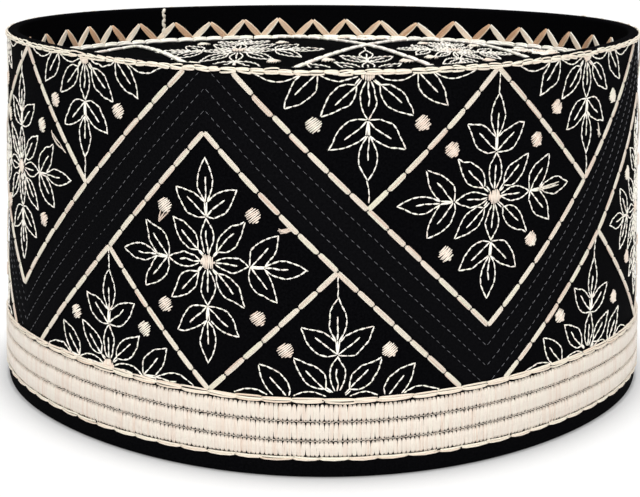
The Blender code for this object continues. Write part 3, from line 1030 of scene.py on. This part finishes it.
crown_dent = furrow(distance_to_lines(crown_right, crown_back, CROWN_LINES), *CROWN_FURROW)
top_rings = crown_place(crown_right, crown_back, crown_wave - crown_dent)
under_shares = np.array([1.0, 0.8, 0.55, 0.25])
under_rings = crown_place(edge_right[None] * under_shares[:, None],
                          CENTRING + (edge_back - CENTRING)[None] * under_shares[:, None],
                          -CROWN_THICKNESS)
rings = np.concatenate([under_rings[::-1], top_rings])
middle_top = crown_place(np.array([0.0]), np.array([CENTRING]))
middle_under = crown_place(np.array([0.0]), np.array([CENTRING]), -CROWN_THICKNESS)
crown_points = np.concatenate([rings.reshape(-1, 3), middle_under, middle_top])
ring_count = len(rings)
ring, column = np.meshgrid(np.arange(ring_count - 1), np.arange(CROWN_COLUMNS), indexing="ij")
next_column = (column + 1) % CROWN_COLUMNS
quads = np.stack([ring * CROWN_COLUMNS + column, ring * CROWN_COLUMNS + next_column,
                  (ring + 1) * CROWN_COLUMNS + next_column,
                  (ring + 1) * CROWN_COLUMNS + column], -1).reshape(-1, 4)
column = np.arange(CROWN_COLUMNS)
next_column = (column + 1) % CROWN_COLUMNS
last_ring = (ring_count - 1) * CROWN_COLUMNS
under_fan = np.stack([next_column, column, 0 * column + len(crown_points) - 2], -1)
top_fan = np.stack([last_ring + column, last_ring + next_column,
                    0 * column + len(crown_points) - 1], -1)
crown_corners = np.concatenate([quads.ravel(), under_fan.ravel(), top_fan.ravel()])
crown_counts = np.array([4] * len(quads) + [3] * (2 * CROWN_COLUMNS))
# The crown's faces get a tone of -1, which colours its cloth darker than the side band's: painted
# shade.
crown = add_mesh("crown_cloth", crown_points, crown_corners, crown_counts, black_cotton,
                 crown_points[crown_corners][:, :2], np.full(len(crown_counts), -1.0))
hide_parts("crown")

# Embroidery of the crown: couched lines and flowers in the near-white cotton. Its bars stand
# taller than the side band's, and its stitches are bolder.
CROWN_BAR_WIDTH = 1.9
CROWN_BAR_LENGTH = 7.5
CROWN_BAR_LIFT = 0.5
CROWN_BAR_TALL = 1.8
CROWN_THREAD = 0.60
CROWN_STITCH_LIFT = 0.30
CROWN_BUD_LIFT = 0.8
join_threads("crown_couched_lines", [bars(
    CROWN_LINES, crown_place, crown_outward, CROWN_BAR_WIDTH, CROWN_BAR_LENGTH, CROWN_BAR_LIFT,
    CROWN_BAR_TALL)], cream_thread, "cream_thread")
leaves, spots = [], []
for right, back, wide, deep, leans in CROWN_FLOWERS:
    scale = np.array([wide, deep])
    flower = Flower(right, back, (UP,), leans, scale, four_buds(scale))
    leaves.append(flower_stitches(flower))
    spots.append(flower_spots(flower))
start, end, _, tone = together(leaves)
join_threads("crown_leaves", [sew(
    start, end, CROWN_THREAD, CROWN_STITCH_LIFT, tone, crown_place, crown_outward)],
    cream_thread, "cream_thread")
start, end, width, tone = together(spots)
join_threads("crown_buds", [sew(
    start, end, width, CROWN_BUD_LIFT, tone, crown_place, crown_outward)],
    bud_thread, "cream_thread")

# Crown edging: three thick strands of the near-white cotton, couched as one round line on the
# crown, just inside the lacing.
CROWN_CORD_IN = 2.0         # from the crown's edge to the middle of the line
CROWN_CORD_BAR = 6.4
CROWN_STRANDS = ((0.45, 0.80, 0.5, 0.25), (-0.45, 0.80, 0.6, 0.25), (0.0, 0.80, 0.7, 0.85))
crown_girth_turns = np.linspace(-math.pi, math.pi, 1441)
girth_right, girth_back = crown_edge(crown_girth_turns)
crown_along = np.concatenate([[0.0], np.cumsum(np.hypot(np.diff(girth_right),
                                                        np.diff(girth_back)))])
CROWN_GIRTH = crown_along[-1]


def crown_round(along, inward, proud):
    """Points beside the crown's edge: how far round it, and how far in (positive outwards)."""
    turn = np.interp((along + CROWN_GIRTH / 2) % CROWN_GIRTH, crown_along, crown_girth_turns)
    right, back = crown_edge(turn)
    share = 1 - (CROWN_CORD_IN - inward) / np.hypot(right, back - CENTRING)
    return crown_place(right * share, CENTRING + (back - CENTRING) * share, proud)


def crown_up(along, inward):
    return np.broadcast_to(np.array([0.0, 0.0, 1.0]), along.shape + (3,))


join_threads("crown_edging_cord", couched_cord(
    0.0, CROWN_CORD_BAR, CROWN_STRANDS, 0.0, 0.10, crown_round, crown_up, CROWN_GIRTH,
    seed=24), cream_thread, "cream_thread", "crown_edging")

# Lacing: flat bundles of thick tan and cream thread that zigzag between the crown's edge and
# the inside of the side band, and hold the crown in.
LACING_SEEN = (-293.7, -280.4, -267.2, -253.7, -238.9, -223.7, -210.8, -199.4, -187.3, -173.5,
               178.7, 192.6, 204.6, 217.4, 230.8, 246.0, 261.1, 275.4, 288.8)  # peaks, along
LACING_UNSEEN = 23          # peaks evenly between them through the front
LACING_PEAK = 101.6
LACING_FOOT = 95.2
LACING_STRANDS = 5
LACING_WIDTH = 2.3
LACE_STATIONS = np.array([0.0, 0.04, 0.35, 0.65, 0.96, 1.0])
LACE_DRAW = np.array([0.8, 0.85, 1.0, 0.9, 0.45, 0.4])      # the strands draw together at a peak
LACE_LIFT = np.array([0.30, 0.45, 0.6, 0.6, 0.45, 0.25])
LACE_ROUND = np.array([0.0, 0.85, 1.0, 1.0, 0.85, 0.0])
LACE_FILL = 0.56            # half a strand's width, as a share of its part of the leg
LACE_TONE = 0.40
# Painted light: legs that face the middle are coloured lighter, as lit, and each leg's upper edge
# strand is a painted highlight.
LACE_PAINTED_LIGHT = 0.36             # legs that face the middle, and each leg's upper edge, are lighter
# Thick peach-tan cotton, coloured with painted light: tan in the shade, and cream on the lit edges.
lacing_thread = thread_finish("tan_cotton_lacing", "#DBB08A", "#F5DCC0", "#FFF8E8", 0.55)


def inner_place(along, height, proud=0.0):
    return wall_place(along, height, -CLOTH_WALL - proud)


def inner_outward(along, height):
    return -wall_outward(along, height)


lacing_peaks = np.sort(np.concatenate([
    LACING_SEEN, np.linspace(LACING_SEEN[9], LACING_SEEN[10], LACING_UNSEEN + 2)[1:-1]]))
lacing_feet = (lacing_peaks + np.append(lacing_peaks[1:], lacing_peaks[0] + GIRTH)) / 2
before = np.append(lacing_feet[-1] - GIRTH, lacing_feet[:-1])
legs_start, legs_end, legs_offset, legs_tone = [], [], [], []
for peak, foot_before, foot_after in zip(lacing_peaks, before, lacing_feet):
    height = LACING_PEAK + chance.normal(0, 0.35)
    for foot in (foot_before, foot_after):
        foot_right, peak_right = wall_place([foot, peak], [LACING_FOOT, LACING_PEAK])[:, 0]
        towards_middle = np.sign(abs(foot_right) - abs(peak_right)) * min(abs(peak_right) / 55, 1)
        for strand in range(LACING_STRANDS):
            side = (strand + 0.5) / LACING_STRANDS - 0.5
            # Painted light and highlight, carried in each strand's tone.
            base = LACE_TONE + LACE_PAINTED_LIGHT * towards_middle
            edge_highlight = LACE_PAINTED_LIGHT if side > 0.3 else 0.0
            legs_start.append((foot, LACING_FOOT))
            legs_end.append((peak, height))
            legs_offset.append(side * LACING_WIDTH)
            legs_tone.append(np.clip(base + edge_highlight + chance.normal(0, 0.12), 0, 1))
legs_start, legs_end = np.array(legs_start), np.array(legs_end)
run = unit(legs_end - legs_start)
sideways = np.stack([-run[:, 1], run[:, 0]], -1) * np.array(legs_offset)[:, None]
lace_path = legs_start[:, None] + (legs_end - legs_start)[:, None] * LACE_STATIONS[None, :, None]
lace_path = lace_path + sideways[:, None] * LACE_DRAW[None, :, None]
lace_lift = LACE_LIFT[None] + 0 * lace_path[..., 0]
lace_shape = LACE_ROUND * LACING_WIDTH / LACING_STRANDS * LACE_FILL
join_threads("crown_lacing_threads", [spin(
    inner_place(lace_path[..., 0], lace_path[..., 1], lace_lift),
    inner_outward(lace_path[..., 0], lace_path[..., 1]), lace_shape[None], lace_shape[None],
    np.array(legs_tone))], lacing_thread, "lacing_thread", "crown_lacing")

# Inner seam: a short chain of the lacing's cotton, sewn up the inside of the back rim where the
# side band's ends are closed.
SEAM_ALONG = -234.2
SEAM_HEIGHTS = np.linspace(96.6, 106.6, 7)
SEAM_SWING = 0.45           # how far the stitches go left and right
SEAM_WIDTH = 1.5
SEAM_LIFT = 0.5
seam_holes = np.stack([SEAM_ALONG + SEAM_SWING * np.array([-1, 1, -1, 1, -1, 1, -1]),
                       SEAM_HEIGHTS], -1)
join_threads("inner_seam_chain", [sew(
    seam_holes[:-1], seam_holes[1:], SEAM_WIDTH, SEAM_LIFT, 0.9, inner_place, inner_outward)],
    lacing_thread, "lacing_thread")
